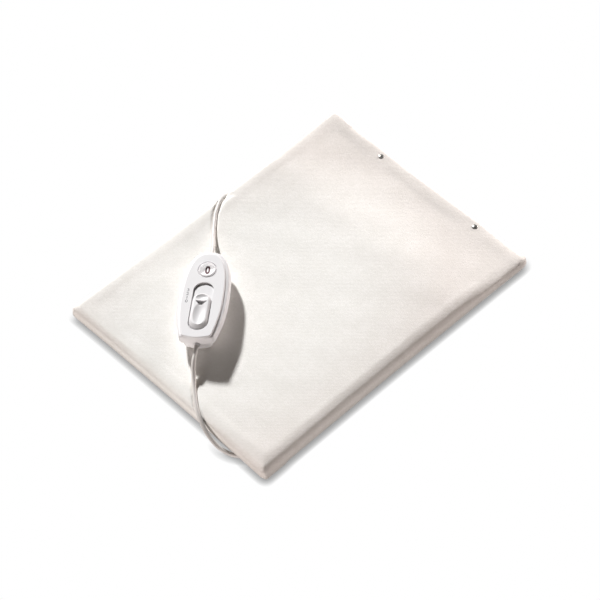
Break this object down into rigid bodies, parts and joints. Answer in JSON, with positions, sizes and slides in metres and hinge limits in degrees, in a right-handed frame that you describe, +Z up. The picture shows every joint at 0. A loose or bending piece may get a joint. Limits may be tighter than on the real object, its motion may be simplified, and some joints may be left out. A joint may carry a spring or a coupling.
{
  "type": "heating pad with controller",
  "caption": "Soft rectangular heating pad in a snap-fastened flannel cover, with a corded hand controller whose thumb slide sets the heat stage shown in a round window, and a mains plug.",
  "frame": {"origin": "middle of the pad, on the surface that the pad lies on", "axes": "+X along the pad's long sides, towards the side with the press studs; +Y along its short sides; +Z up"},
  "size_m": [0.4066, 0.3071, 0.0469],
  "materials": {
    "flannel": "short brushed nap",
    "wadding": "soft wadding",
    "felt": "thin felt",
    "white_plastic": "satin",
    "grey_plastic": "matt",
    "black_plastic": "matt",
    "clear_plastic": "clear",
    "cord": "smooth satin",
    "nickel": "nickel plated",
    "steel": "zinc plated",
    "brass": "bright",
    "board": "laminate"
  },
  "bodies": {
    "pad_and_case": {"pad_cover": "flannel", "upper_wadding": "wadding", "lower_wadding": "wadding", "element_sheet": "felt", "heating_wire": "black_plastic", "overheat_limiter_1": "black_plastic", "overheat_limiter_2": "black_plastic", "splice_block": "grey_plastic", "lead_gland": "white_plastic", "stud_cap_1": "nickel", "stud_cap_2": "nickel", "stud_socket_1": "nickel", "stud_socket_2": "nickel", "stud_pin_1": "nickel", "stud_pin_2": "nickel", "stud_rivet_1": "nickel", "stud_rivet_2": "nickel", "bottom_shell": "white_plastic", "top_cover": "white_plastic", "common_contact": "brass", "stage_contact_1": "brass", "stage_contact_2": "brass", "stage_contact_3": "brass", "wheel_pin": "steel", "window_lens": "clear_plastic", "circuit_board": "board", "indicator_lamp": "clear_plastic", "thermal_fuse": "brass", "capacitor": "grey_plastic", "power_diode": "black_plastic", "nose_bush": "white_plastic", "nose_clamp": "grey_plastic", "nose_clamp_screw_1": "steel", "nose_clamp_screw_2": "steel", "tail_bush": "white_plastic", "tail_clamp": "grey_plastic", "tail_clamp_screw_1": "steel", "tail_clamp_screw_2": "steel", "case_screw_1": "steel", "case_screw_2": "steel", "case_screw_3": "steel", "case_screw_4": "steel", "mains_lead": "cord", "pad_lead": "cord", "mains_coil": "cord", "coil_tie": "black_plastic", "plug_body": "white_plastic", "plug_pin_1": "nickel", "plug_pin_2": "nickel"},
    "slider": {"slider_knob": "white_plastic", "slider_carriage": "black_plastic", "contact_wiper": "brass", "detent_spring": "steel"},
    "indicator": {"indicator_wheel": "white_plastic"}
  },
  "joints": [
    {"name": "slider_travel", "type": "slide", "parent": "pad_and_case", "child": "slider", "axis": [0.7716, 0.6361, 0], "range_m": [0, 0.015]},
    {"name": "indicator_turn", "type": "hinge", "parent": "pad_and_case", "child": "indicator", "pos_m": [-0.08012, 0.06262, 0.03938], "axis": [-0.0554, 0.0673, 0.9962], "range_deg": [0, 180]}
  ],
  "couplings": [
    {"joint": "indicator_turn", "follows": "slider_travel", "rad_per_m": 209.44}
  ]
}
